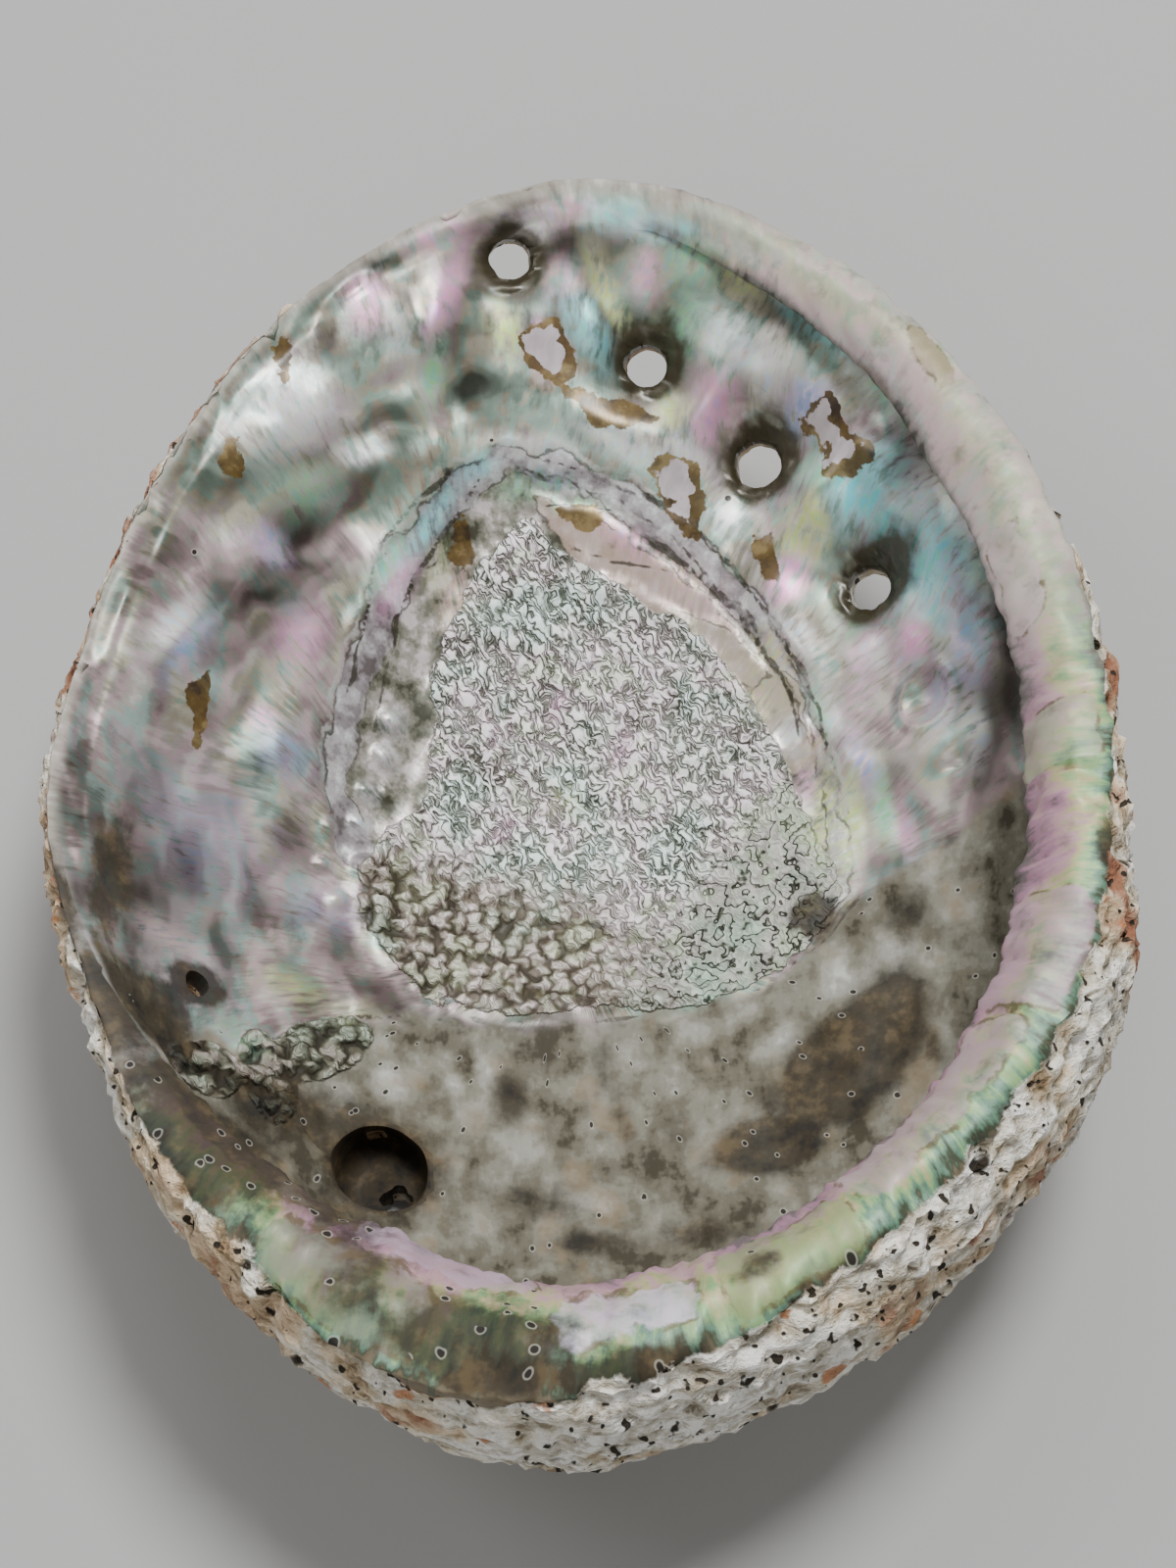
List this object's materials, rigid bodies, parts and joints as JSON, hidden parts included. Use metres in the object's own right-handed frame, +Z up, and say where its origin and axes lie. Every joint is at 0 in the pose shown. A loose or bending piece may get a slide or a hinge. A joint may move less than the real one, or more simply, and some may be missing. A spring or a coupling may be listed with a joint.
{
  "type": "abalone shell",
  "caption": "Empty red abalone shell lying on its back: an oval mother-of-pearl bowl with a thick inner lip, a row of breathing holes and a worn, crusty outside.",
  "frame": {"origin": "centre of the shell's outline, on the surface it rests on", "axes": "+Z up, out of the bowl; +Y towards the shallow front of the shell, away from the spire; +X towards the side with the thick inner lip and the row of breathing holes"},
  "size_m": [0.1604, 0.2102, 0.0599],
  "materials": {
    "nacre_and_crust": "iridescent mother-of-pearl inside, rough chalky crust outside"
  },
  "bodies": {
    "root": {"abalone_shell": "nacre_and_crust"}
  },
  "joints": []
}
